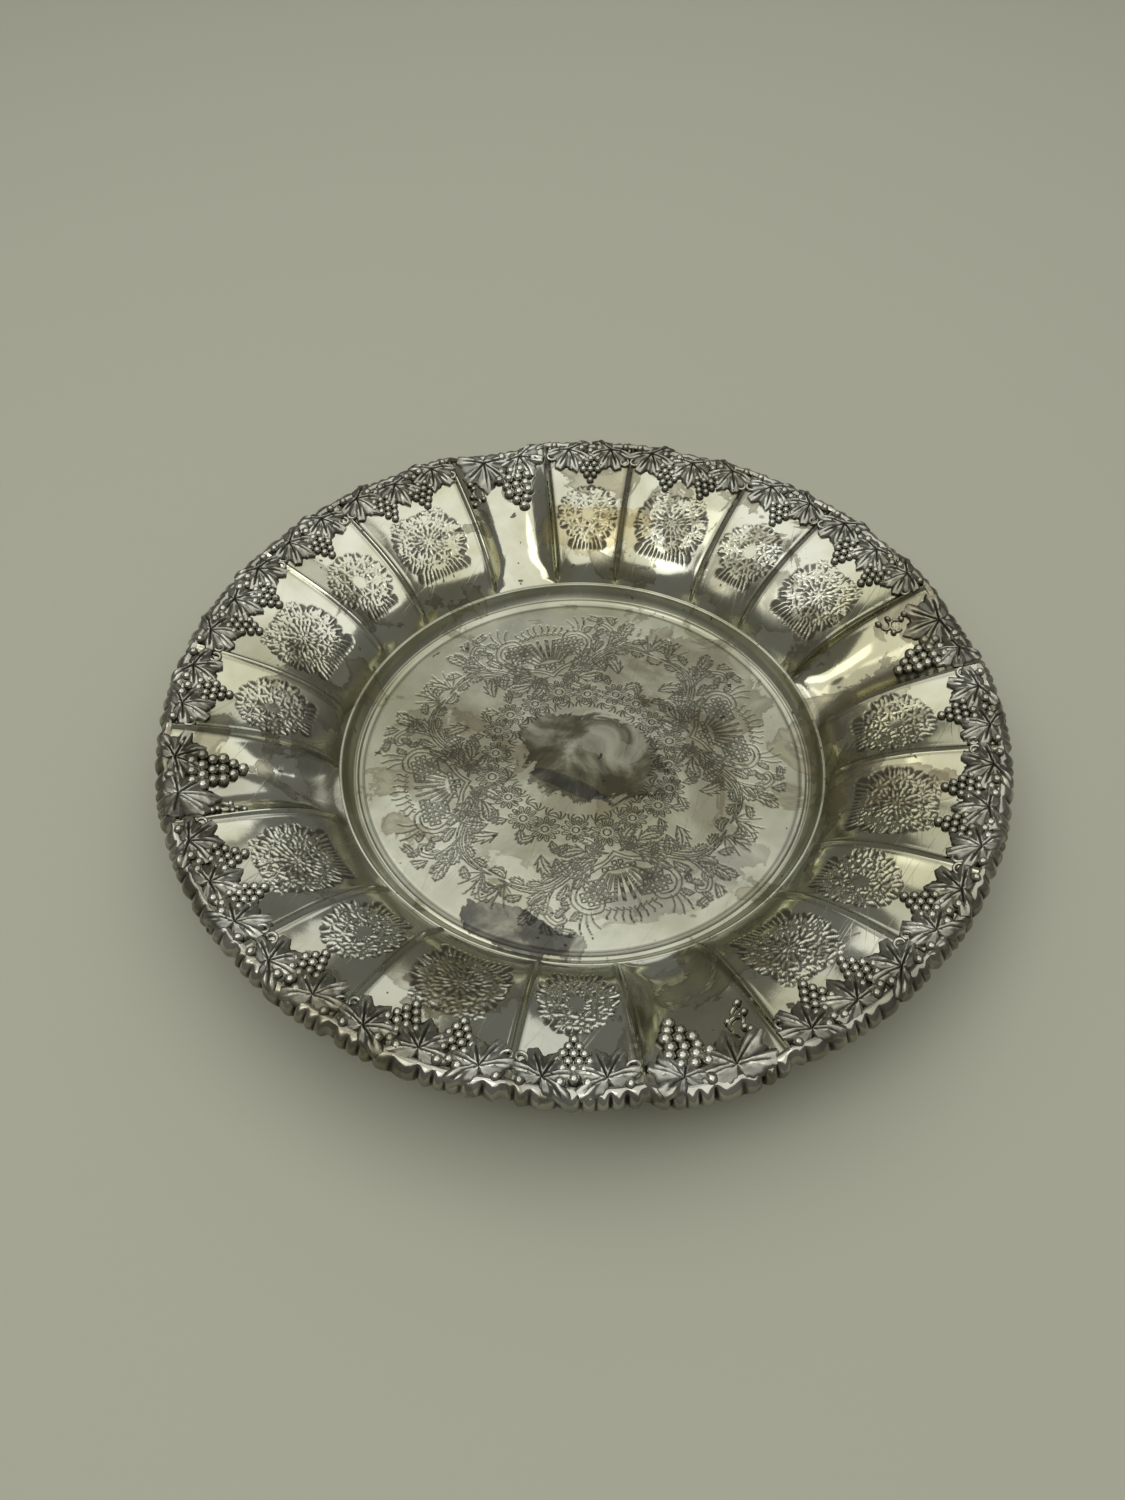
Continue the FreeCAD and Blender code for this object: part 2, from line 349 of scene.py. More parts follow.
@dataclass(frozen=True)
class Stroke:
    """A leaf stroke: a drop that is widest near its root and runs to a point."""

    x: float
    y: float
    angle: float
    length: float
    width: float

    def height(self, x: np.ndarray, y: np.ndarray) -> np.ndarray:
        """Height from 0 to 1 at flat places."""
        along = ((x - self.x) * cos(self.angle) + (y - self.y) * sin(self.angle)) / self.length
        aside = (y - self.y) * cos(self.angle) - (x - self.x) * sin(self.angle)
        inside = np.clip(along, 0, 1)
        half = self.width / 2 * np.sqrt(np.clip(4 * inside * (1 - inside), 0, 1)) * (1.25 - 0.5 * inside)
        return np.sqrt(np.clip(1 - (aside / np.maximum(half, 1e-6)) ** 2, 0, 1)) * (half > 0.02)


def ring_of(count: int, wide: float, tall: float, middle: float, turn: float = 0.0) -> list[tuple]:
    """Places on an ellipse round (0, middle): x, y and the outward angle of each."""
    found = []
    for k in range(count):
        angle = turn + tau * k / count
        found.append((wide * cos(angle), middle + tall * sin(angle), angle))
    return found


@dataclass(frozen=True)
class Chasing:
    """The chased motif of one kind of panel, placed across it and along it from the shoulder."""

    middle: float = 31.5
    relief: float = 0.44

    def rosette(self, x: float, y: float, size: float, petals: int, turn: float) -> list:
        """A small flower of separate petals round a button."""
        found = [Stroke(x + 0.32 * size * cos(turn + tau * k / petals),
                        y + 0.32 * size * sin(turn + tau * k / petals),
                        turn + tau * k / petals, 0.74 * size, 3.1 * size / petals) for k in range(petals)]
        return found + [Blossom(x, y, 0.34 * size, 4, turn)]

    def fringe(self, count: int, wide: float, tall: float, length: float, width: float,
               turn: float) -> list:
        """Leaf strokes that radiate from an oval, of uneven length and lean."""
        return [Stroke(px, py, a + 0.30 * sin(5.3 * k + 9 * turn),
                       length * (0.78 + 0.34 * sin(2.9 * k + turn)), width)
                for k, (px, py, a) in enumerate(ring_of(count, wide, tall, self.middle, turn))]

    def narrow(self) -> list:
        """A wreath of small flowers and leaves round a plain oval."""
        y = self.middle
        parts = self.fringe(16, 2.6, 3.3, 2.2, 0.95, 0.1) + self.fringe(38, 9.4, 10.6, 3.8, 1.1, 0.0)
        for k, (px, py, a) in enumerate(ring_of(8, 6.0, 7.0, y, 0.25)):
            parts += self.rosette(px, py, 2.9, 6, a)
        for k, (px, py, a) in enumerate(ring_of(11, 9.7, 11.0, y, 0.62)):
            parts += self.rosette(px, py, 2.7 + 0.4 * sin(3 * k), 5, a + 0.4 * k)
        parts += [Stroke(side * lean * 3.0, y - 12.0, -pi / 2 + side * lean * 0.2, 5.2, 1.0)
                  for side in (-1, 1) for lean in (0.15, 0.6, 1.1, 1.6)]
        return parts

    def wide(self) -> list:
        """A large open flower with fans of long leaf strokes and small flowers round it."""
        y = self.middle
        parts = self.rosette(0, y, 2.9, 8, 0.0)
        parts += self.fringe(16, 3.2, 3.2, 3.6, 1.15, 0.1) + self.fringe(24, 6.3, 6.0, 4.0, 1.15, 0.2)
        parts += self.fringe(54, 11.8, 10.8, 4.5, 1.05, 0.07)
        for k, (px, py, a) in enumerate(ring_of(12, 10.6, 9.4, y, 0.28)):
            parts += self.rosette(px, py, 2.9 + 0.5 * sin(4 * k), 5 + k % 2, a + 0.5 * k)
        for side in (-1, 1):
            parts += self.rosette(side * 10.0, y + 11.8, 2.3, 5, 0.3)
            parts += self.rosette(side * 5.2, y + 12.6, 2.2, 5, 0.8)
        parts += [Stroke(side * lean * 3.4, y - 11.0, -pi / 2 + side * lean * 0.16, 6.4, 1.05)
                  for side in (-1, 1) for lean in (0.17, 0.55, 0.95, 1.4, 1.9, 2.4)]
        return parts

    def relief_at(self, panel: Panel, x: np.ndarray, y: np.ndarray) -> tuple[np.ndarray, np.ndarray]:
        """Relief of a panel.

        Args:
            panel: the kind of panel.
            x: places across, in millimetres.
            y: places along from the shoulder, in millimetres.

        Returns:
            Height in millimetres and how recessed each place is, from 0 to 1.
        """
        if panel is Panel.LOBE:
            return np.zeros_like(x), np.zeros_like(x)
        height, near = np.zeros_like(x), np.zeros_like(x)
        for part in (self.narrow() if panel is Panel.NARROW else self.wide()):
            size = part.radius if isinstance(part, Blossom) else part.length
            close = np.flatnonzero(np.abs(x - part.x) + np.abs(y - part.y) < 1.6 * size + 1.5)
            height[close] = np.maximum(height[close], part.height(x[close], y[close]))
            centre = 0.0 if isinstance(part, Blossom) else 0.5 * size
            angle = 0.0 if isinstance(part, Blossom) else part.angle
            away = np.hypot(x[close] - part.x - centre * cos(angle),
                            y[close] - part.y - centre * sin(angle))
            near[close] = np.maximum(near[close], 1 - smooth(0.42 * size, 0.42 * size + 0.5, away))
        return self.relief * (height - 0.5 * near), 0.95 * near * (1 - smooth(0.0, 0.6, height))


@dataclass(frozen=True)
class Engraving:
    """The engraved band of the well: four framed shells, scrolls, sprays and a garland."""

    depth: float = 0.30
    line: float = 0.21
    darkness: float = 0.74
    rib_bend: float = 0.9
    rib_points: int = 10

    def spiral(self, x: float, y: float, radius: float, start: float, turns: float,
               hand: int) -> np.ndarray:
        """A scroll that winds in to its eye, as rows of x, y."""
        t = np.linspace(0, 1, 26)
        return around(x, y, radius * (1 - 0.82 * t), start + hand * tau * turns * t)

    def sweep(self, *knots: tuple[float, float]) -> np.ndarray:
        """A smooth curve through a few places, as rows of x, y."""
        last = len(knots) - 1
        return curve_through(np.array(knots), np.arange(last + 1.0), np.linspace(0, last, 8 * last + 1))

    def hook(self, x: float, y: float, angle: float, length: float, hand: int) -> np.ndarray:
        """A curved rib that starts in one direction and bends away from it.

        Args:
            x: place of its root across.
            y: place of its root outwards.
            angle: direction in which it starts, in radians.
            length: its length.
            hand: 1 where it bends left, -1 where it bends right.

        Returns:
            Its line, as rows of x, y.
        """
        way = angle + hand * self.rib_bend * np.linspace(0, 1, self.rib_points)
        steps = np.stack([np.cos(way), np.sin(way)], axis=1)
        return np.cumsum(steps, axis=0) * length / self.rib_points + (x, y)

    def ribbon(self, stem: np.ndarray, wide: float) -> list[np.ndarray]:
        """A stem and its twin beside it, which meet at both ends."""
        ahead = np.gradient(stem, axis=0)
        aside = np.stack([-ahead[:, 1], ahead[:, 0]], axis=1) / np.linalg.norm(ahead, axis=1)[:, None]
        share = np.sin(pi * np.linspace(0, 1, len(stem))) ** 0.6
        return [stem, stem + aside * (wide * share)[:, None]]

    def frond(self, x: float, y: float, angle: float, length: float, hand: int) -> list[np.ndarray]:
        """An acanthus leaf: a curved rib between two edges of pointed lobes."""
        rib = self.hook(x, y, angle, length, hand)
        lines = [rib]
        for side in (-1, 1):
            edge = [rib[0]]
            for k in range(1, 8, 2):
                ahead = rib[k + 1] - rib[k - 1]
                way = float(np.arctan2(ahead[1], ahead[0]))
                wide = 0.36 * length * sin(pi * (0.30 + 0.08 * k))
                tip, notch = way + side * 0.75, way + side * 1.3
                edge.append(rib[k] + wide * np.array([cos(tip), sin(tip)]))
                edge.append(rib[k + 1] + 0.34 * wide * np.array([cos(notch), sin(notch)]))
            lines.append(np.array(edge + [rib[-1]]))
        return lines

    def daisy(self, x: float, y: float, radius: float, petals: int, turn: float) -> list[np.ndarray]:
        """A flower of pointed petals round a button."""
        t = np.linspace(0, tau, 9 * petals + 1)
        reach = radius * (0.46 + 0.54 * np.abs(np.sin(petals * t / 2)) ** 0.8)
        lines = [around(x, y, reach, t + turn), around(x, y, 0.24 * radius, t[::petals])]
        for k in range(petals):
            way = turn + tau * (k + 0.5) / petals
            lines.append(np.array([(x + r * radius * cos(way), y + r * radius * sin(way))
                                   for r in (0.42, 0.80)]))
        return lines

    def spray(self, stem: np.ndarray, size: float, side: int, clear: float = 0.0) -> list[np.ndarray]:
        """Leaves that grow along one side of a stem, a little clear of it."""
        lines = []
        for k in range(4, len(stem) - 1, 7):
            ahead = stem[k + 1] - stem[k - 1]
            way = float(np.arctan2(ahead[1], ahead[0]))
            root = stem[k] + side * clear * np.array([-sin(way), cos(way)])
            reach = size * (0.95 + 0.25 * sin(1.9 * k))
            lines += self.frond(root[0], root[1], way + side * 0.80, reach, -side)
        return lines

    def half(self) -> list[np.ndarray]:
        """Lines of one half of a quarter, right of the line from the well's middle outwards."""
        frame_outer = self.sweep((0, 44.0), (4.5, 47.5), (11, 49.5), (17.5, 54), (20.5, 61), (17, 67),
                                 (11, 67.5), (9, 63.5), (12, 61.5))
        frame_inner = self.sweep((0, 46.2), (5, 49.2), (10.6, 51.4), (16, 55.4), (18.6, 61), (16, 65.2),
                                 (11.8, 65.6), (10.8, 63.6))
        branch = self.sweep((2, 44.5), (7, 42.5), (13, 44.5), (20, 50), (28, 53), (36, 51), (43, 45.5))
        twig = self.sweep((24, 52.5), (29, 58), (31, 64), (28, 69), (24, 68), (24.5, 64.5))
        lines = [frame_outer, frame_inner, *self.ribbon(branch, 2.1), *self.ribbon(branch, 0.9),
                 *self.ribbon(twig, 1.5), self.spiral(5.2, 41.2, 3.2, 1.4, 1.3, -1),
                 self.spiral(5.2, 41.2, 2.3, 1.4, 1.1, -1), self.spiral(30.5, 62.5, 3.0, 2.2, 1.2, 1),
                 self.spiral(30.5, 62.5, 2.2, 2.2, 1.0, 1)]
        lines += self.spray(branch, 9.5, -1, 0.5) + self.spray(branch, 10.0, 1, 2.6)
        lines += self.spray(twig, 8.0, -1, 0.5)
        lines += self.spray(self.sweep((20, 61), (24, 66), (25, 72), (21, 76)), 5.0, -1)
        for angle, reach in ((0.4, 9.0), (0.85, 10.5), (1.3, 9.0), (1.8, 7.5)):
            across, outwards = reach * cos(angle), reach * sin(angle)
            lines.append(self.sweep((41.5, 48), (41.5 + 0.55 * across, 48 + 0.45 * outwards),
                                    (41.5 + across, 48 + outwards + 0.8)))
        for px, py, angle, reach in ((33.5, 57.0, 1.30, 11.6), (42.0, 47.0, 0.85, 12.0)):
            lines += self.frond(px, py, angle, reach, -1)
        for k, reach in enumerate((7.5, 8.5, 7.0)):
            lines.append(self.sweep((18 - 1.6 * k, 67), (20 - 2.6 * k, 67 + 0.55 * reach),
                                    (20.5 - 3.6 * k, 67 + reach)))
        for k in range(5):
            lean = 0.19 * k + 0.09
            root, tip = np.array([1.1 * k + 0.5, 54.0 - 0.12 * k * k]), 11.5 - 0.5 * k
            top = root + tip * np.array([sin(lean), cos(lean)])
            lines.append(np.array([root, top]))
            lines.append(np.array([root + (0.55, 0), top + (0.75, -0.3)]))
        for k in range(4):
            lines.append(self.spiral(1.2 + 2.3 * k, 68.4 - 0.5 * k, 1.1, 0, 0.75, 1))
            lines.append(self.sweep((1.2 + 2.3 * k, 69.6 - 0.5 * k), (1.8 + 2.7 * k, 72.2 - 0.8 * k),
                                    (1.4 + 2.9 * k, 74.5 - 1.2 * k)))
        for row in range(9):
            for column in range(8):
                x, y = 1.15 + 2.1 * column, 49.0 + 2.1 * row
                ledge = 47.2 + 0.42 * x + 0.012 * x * x
                inside = ledge + 1.3 < y < 65.5 and x < 16.8 - 0.10 * (y - 60) ** 2 * (y > 60)
                if inside and (x > 7.6 - 0.3 * (y - 54) or y < 53.2):
                    corner = np.array([(-0.78, -0.78), (0.78, -0.78), (0.78, 0.78), (-0.78, 0.78)])
                    lines.append(np.vstack([corner, corner[:1]]) + (x, y))
        return lines

    def garland(self) -> list[np.ndarray]:
        """Flowers and jagged leaves of the inner garland, across one quarter."""
        lines = []
        for bearing, ring, radius, petals in ((90, 35.6, 6.2, 12), (71, 33.6, 5.4, 11), (109, 33.6, 5.4, 11),
                                               (52.5, 36.0, 5.6, 11), (127.5, 36.0, 5.6, 11)):
            angle = radians(bearing)
            lines += self.daisy(ring * cos(angle), ring * sin(angle), radius, petals, 0.3 + angle)
        for k in range(10):
            angle = radians(49.5 + 9.0 * k)
            hand = 1 if k % 2 else -1
            for lean in (-0.9, -0.3, 0.3, 0.9):
                lines.append(self.hook(30.2 * cos(angle), 30.2 * sin(angle), angle + pi + lean, 3.8, hand))
            lines += self.frond(39.4 * cos(angle), 39.4 * sin(angle), angle + 0.35 * hand,
                                8.4 - 0.7 * (k % 3), hand)
        for bearing, reach in ((56, 12), (63, 10.5), (70, 6.5), (110, 6.5), (117, 10.5), (124, 12)):
            angle = radians(bearing)
            hand = 1 if bearing < 90 else -1
            lines += self.frond(46 * cos(angle), 46 * sin(angle), angle + 0.3 * hand, reach, hand)
        return lines

    def lines(self) -> list[np.ndarray]:
        """All lines of the quarter whose middle points along +Y."""
        mirror = np.array([-1.0, 1.0])
        half = self.half()
        return half + [line * mirror for line in half] + self.garland()

    def cut(self, x: np.ndarray, y: np.ndarray) -> np.ndarray:
        """How deep the engraving is at places in the well, from 0 to 1."""
        cut = np.zeros_like(x)
        for line in self.lines():
            low, high = line.min(axis=0) - 1.2, line.max(axis=0) + 1.2
            close = np.flatnonzero((x > low[0]) & (x < high[0]) & (y > low[1]) & (y < high[1]))
            if not len(close):
                continue
            at = np.stack([x[close], y[close]], axis=1)[:, None, :]
            start, step = line[None, :-1], np.diff(line, axis=0)[None]
            share = np.clip(((at - start) * step).sum(-1) / np.maximum((step ** 2).sum(-1), 1e-9), 0, 1)
            away = np.sqrt(((at - start - share[..., None] * step) ** 2).sum(-1)).min(axis=1)
            cut[close] = np.maximum(cut[close], 1 - smooth(0.3 * self.line, 1.5 * self.line, away))
        return cut


# ---------------------------------------------------------------- finishes

class Tone:
    """A number or colour that varies over a surface, with sums written as sums."""

    def __init__(self, bench: "Bench", socket: bpy.types.NodeSocket) -> None:
        """Wrap a socket of a bench's node tree."""
        self.bench, self.socket = bench, socket

    def math(self, operation: str, other: "Tone | float", flipped: bool = False) -> "Tone":
        """Combine with a number or another tone by a Math node."""
        pair = (other, self) if flipped else (self, other)
        return self.bench.node("ShaderNodeMath", {"operation": operation}, dict(enumerate(pair)))

    def __add__(self, other: "Tone | float") -> "Tone":
        """Sum."""
        return self.math("ADD", other)

    def __sub__(self, other: "Tone | float") -> "Tone":
        """Difference."""
        return self.math("SUBTRACT", other)

    def __rsub__(self, other: float) -> "Tone":
        """Number minus tone."""
        return self.math("SUBTRACT", other, flipped=True)

    def __mul__(self, other: "Tone | float") -> "Tone":
        """Product."""
        return self.math("MULTIPLY", other)

    __radd__, __rmul__ = __add__, __mul__

    def step(self, low: float, high: float) -> "Tone":
        """Smooth step from 0 at low to 1 at high."""
        return self.bench.node("ShaderNodeMapRange", {"interpolation_type": "SMOOTHSTEP"},
                               {"Value": self, "From Min": low, "From Max": high})


class Bench:
    """Builds one material's nodes."""

    def __init__(self, name: str) -> None:
        """Start an empty material."""
        self.material = bpy.data.materials.new(name)
        self.material.use_nodes = True
        self.tree = self.material.node_tree
        self.tree.nodes.clear()

    def node(self, kind: str, settings: dict | None = None, sockets: dict | None = None,
             output: int | str = 0) -> Tone:
        """Add a node.

        Args:
            kind: the node's type.
            settings: properties set before its sockets.
            sockets: a number, colour, vector or tone for each input, by name or place.
            output: the output to hand back.

        Returns:
            The chosen output as a tone.
        """
        node = self.tree.nodes.new(kind)
        for name, value in (settings or {}).items():
            setattr(node, name, value)
        for name, value in (sockets or {}).items():
            if isinstance(value, Tone):
                self.tree.links.new(value.socket, node.inputs[name])
            else:
                node.inputs[name].default_value = value
        return Tone(self, node.outputs[output])

    def finish(self, surface: Tone) -> bpy.types.Material:
        """Send a shader to the surface output and hand back the material."""
        end = self.tree.nodes.new("ShaderNodeOutputMaterial")
        self.tree.links.new(surface.socket, end.inputs["Surface"])
        return self.material

    def noise(self, place: Tone, scale: float, detail: float = 3, roughness: float = 0.55,
              distortion: float = 0.0) -> Tone:
        """Fractal noise at a place; scale is in cycles per metre."""
        return self.node("ShaderNodeTexNoise", {}, {"Vector": place, "Scale": scale, "Detail": detail,
                                                    "Roughness": roughness, "Distortion": distortion})

    def blend(self, share: Tone, first: "Tone | tuple", second: "Tone | tuple") -> Tone:
        """Mix two colours by a share."""
        return self.node("ShaderNodeMix", {"data_type": "RGBA"}, {0: share, 6: first, 7: second}, output=2)

    def moved(self, place: Tone, at: tuple, turn: float, size: tuple) -> Tone:
        """The place as seen from a spot of the given centre, turn and size."""
        return self.node("ShaderNodeMapping", {"vector_type": "TEXTURE"},
                         {"Vector": place, "Location": at, "Rotation": (0, 0, turn), "Scale": size})


@dataclass(frozen=True)
class Stain:
    """A patch of heavy tarnish: centre and half sizes in millimetres, turn in degrees."""

    x: float
    y: float
    wide: float
    tall: float
    turn: float
    colour: tuple
    strength: float = 0.8
    ragged: float = 0.8
    edge: float = 0.25


@dataclass(frozen=True)
class Silver:
    """Worn silver plate: bright metal, tarnish in crisp patches, dark oxide in recesses with painted shade
    on undersides, and fine scratches.
    """

    name: str
    bright: tuple = (0.80, 0.775, 0.69, 1)
    warm: tuple = (0.66, 0.61, 0.44, 1)
    tarnish: tuple = (0.30, 0.27, 0.17, 1)
    dull: tuple = (0.33, 0.33, 0.26, 1)
    oxide: tuple = (0.050, 0.045, 0.035, 1)
    film: float = 0.35
    roughness: float = 0.17
    patch_size: float = 30.0
    patch_level: float = 0.60
    patch_strength: float = 0.75
    scratches: float = 0.10
    dents: float = 0.25
    stains: tuple = ()

    def build(self) -> bpy.types.Material:
        """Make the material."""
        bench = Bench(self.name)
        place = bench.node("ShaderNodeTexCoord", output="Object")
        oxide_and_shade = bench.node("ShaderNodeAttribute", {"attribute_name": "oxide_and_shade"}, output="Fac")
        cloud = bench.noise(place, 14, 4, 0.6)
        fine = bench.noise(place, 420, 3, 0.6)
        colour = bench.blend(cloud.step(0.40, 0.68), self.bright, self.warm)
        film = bench.noise(place, 55, 5, 0.65, 0.4).step(0.42, 0.66) * self.film
        colour = bench.blend(film, colour, self.dull)

        patches = bench.noise(place, 1000 / self.patch_size, 6, 0.62, 0.6)
        patch = patches.step(self.patch_level, self.patch_level + 0.022)
        rim = patch * (1 - patches.step(self.patch_level + 0.022, self.patch_level + 0.075))
        mottle = bench.noise(place, 95, 4, 0.65)
        grime = patch * (0.45 + 0.55 * mottle) * self.patch_strength
        colour = bench.blend(grime, colour, self.tarnish)
        colour = bench.blend(rim * 0.30, colour, self.oxide)
        shade = grime

        smear = bench.noise(place, 38, 5, 0.6, 0.8).step(0.34, 0.58)
        for stain in self.stains:
            spot = bench.moved(place, (stain.x * MM, stain.y * MM, 0), radians(stain.turn),
                               (stain.wide * MM, stain.tall * MM, 1))
            reach = bench.node("ShaderNodeVectorMath", {"operation": "LENGTH"}, {0: spot}, output=1)
            reach = reach + (bench.noise(place, 40, 7, 0.68, 0.7) - 0.5) * (2.0 * stain.ragged)
            inside = 1 - reach.step(0.96, 1.03)
            edge = inside * reach.step(0.90, 0.99)
            body = inside * (0.30 + 0.70 * smear) * stain.strength
            colour = bench.blend(body, colour, stain.colour)
            colour = bench.blend(edge * stain.edge, colour, self.oxide)
            shade = shade + body

        specks = bench.noise(place, 210, 2, 0.5).step(0.715, 0.745)
        colour = bench.blend(specks * 0.85, colour, self.oxide)
        # oxide in hollows, and painted shade on undersides and in shadow gaps, from the per-vertex mask
        colour = bench.blend(oxide_and_shade * 0.9, colour, self.oxide)

        long = bench.moved(place, (0, 0, 0), 0.7, (1, 0.018, 1))
        short = bench.moved(place, (0, 0, 0), -0.5, (0.022, 1, 1))
        hair = (bench.noise(long, 22, 2, 0.5, 0.2).step(0.62, 0.72)
                + bench.noise(short, 26, 2, 0.5, 0.2).step(0.63, 0.73))
        rough = (self.roughness + 0.07 * cloud + 0.04 * fine + 0.24 * shade + 0.30 * oxide_and_shade
                 + self.scratches * hair + 0.3 * specks)
        low = bench.node("ShaderNodeBump", {}, {"Strength": 1.0, "Distance": self.dents * MM,
                                                "Height": bench.noise(place, 48, 2, 0.4)})
        grain = bench.node("ShaderNodeBump", {}, {"Strength": 1.0, "Distance": 0.012 * MM,
                                                  "Height": fine + hair * 0.8 + grime, "Normal": low})
        metal = bench.node("ShaderNodeBsdfPrincipled", {}, {
            "Base Color": colour, "Metallic": 1 - 0.35 * specks, "Roughness": rough, "Normal": grain})
        return bench.finish(metal)


# ---------------------------------------------------------------- pieces

def settle(piece: bpy.types.Object, finish: bpy.types.Material, slot: str, *nodes: str) -> None:
    """Dress a finished piece and put it on the dish.

    Args:
        piece: the piece, with its place in its mesh.
        finish: its material.
        slot: name of the model's material slot for the piece; not used.
        nodes: the CAD nodes that it stands for.
    """
    take(piece)
    bpy.ops.object.shade_smooth_by_angle(angle=radians(62))
    piece.data.materials.clear()
    piece.data.materials.append(finish)
    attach(piece, "root")
    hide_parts(*nodes)
    log.info("%s: %d faces", piece.name, len(piece.data.polygons))


def close_seams(piece: bpy.types.Object) -> None:
    """Merge a wrapped grid's seams and poles and turn all its faces outwards."""
    with editing(piece):
        bpy.ops.mesh.select_all(action="SELECT")
        bpy.ops.mesh.remove_doubles(threshold=0.005 * MM)
        face_outwards()


@dataclass
class WellSheet:
    """The flat well: its plain middle, its engraved band in quarters and the ring mouldings round it."""

    form: Form
    engraving: Engraving = field(default_factory=Engraving)
    middle_radius: float = 26.0
    band_radius: float = 79.0
    fineness: float = 0.28

    def turned(self, name: str, section: list, columns: int, finish: bpy.types.Material) -> None:
        """Wrap a grid round the axis to a closed section.

        Args:
            name: name of the piece.
            section: radius and height of each ring, outwards on top and back below.
            columns: number of steps round.
            finish: its material.
        """
        rings = np.array(section)
        piece, column, row = grid(name, columns, len(rings) - 1)
        angle = -tau * column / columns
        radius = rings[row, 0]
        set_points(piece, polar(radius, angle, rings[row, 1]) * MM)
        grooves = (radius > 83.6) & (radius < 84.6) | (radius > 87.5) & (radius < 88.0)
        set_oxide_and_shade(piece, np.where(grooves, 0.45, 0.0))
        close_seams(piece)
        settle(piece, finish, "sheet_silver", "dish_body")

    def mouldings(self) -> list[tuple[float, float]]:
        """Section of the plain rim of the well with a thin line, a bead and the shoulder."""
        top = self.form.thickness
        rings = [(r, top) for r in (self.band_radius, 80.0, 81.0, 82.6, 83.4)]
        bead = [(83.8, -0.10), (84.1, -0.18), (84.4, -0.10), (84.7, 0.0), (85.5, 0.02), (85.9, 0.22),
                (86.2, 0.50), (86.6, 0.66), (87.0, 0.60), (87.4, 0.34), (87.7, 0.28), (88.1, 0.62),
                (88.6, 1.20), (89.2, 1.85), (89.8, 2.65), (90.3, 3.50), (90.7, 4.35), (91.0, 4.95),
                (91.2, 5.35), (91.5, 5.72), (91.8, 5.86), (92.1, 5.80), (92.3, 5.76)]
        rings += [(r, top + rise) for r, rise in bead]
        rings.append((self.form.shoulder_radius, top + self.form.shoulder_rise))
        return rings + [(92.9, 5.2), (92.2, 3.9), (90.0, 1.5), (88.4, 0.2), (86.5, 0.0),
                        (self.band_radius, 0.0), (self.band_radius, top)]

    def engraved(self, number: int, finish: bpy.types.Material) -> None:
        """One quarter of the engraved band, cut into the upper face and closed below.

        Args:
            number: which quarter, from 0.
            finish: its material.
        """
        low, high = self.middle_radius, self.band_radius
        rows = round((high - low) / self.fineness)
        columns = round(pi / 4 * (low + high) / self.fineness)
        piece, column, row = grid(f"well_engraved_{number + 1}", columns, rows)
        turn = pi / 4 + pi / 2 * column / columns
        radius = low + (high - low) * row / rows
        cut = self.engraving.cut(radius * np.cos(turn), radius * np.sin(turn))
        cut *= smooth(0, 2, row) * smooth(0, 2, rows - row)
        angle = pi / 2 * number - turn
        height = self.form.thickness - self.engraving.depth * cut
        set_points(piece, polar(radius, angle, height) * MM)
        set_oxide_and_shade(piece, self.engraving.darkness * cut)
        with editing(piece):
            drop_rim(self.form.thickness * MM)
        points = points_of(piece)
        below = points[:, 2] < self.form.thickness * MM / 2
        points[below, 2] = 0
        set_points(piece, points)
        set_oxide_and_shade(piece, np.where(below, 0.0, oxide_and_shade_of(piece)))
        with editing(piece):
            bpy.ops.mesh.edge_face_add()
        close_seams(piece)
        settle(piece, finish, "sheet_silver", "dish_body")

    def build(self, finish: bpy.types.Material) -> None:
        """Make the middle, the mouldings and the four engraved quarters."""
        top, edge = self.form.thickness, self.middle_radius
        middle = [(0, top), (9, top), (18, top), (edge, top), (edge, 0), (0, 0)]
        self.turned("well_middle", middle, 240, finish)
        self.turned("well_rim", self.mouldings(), 900, finish)
        for number in range(QUARTERS):
            self.engraved(number, finish)


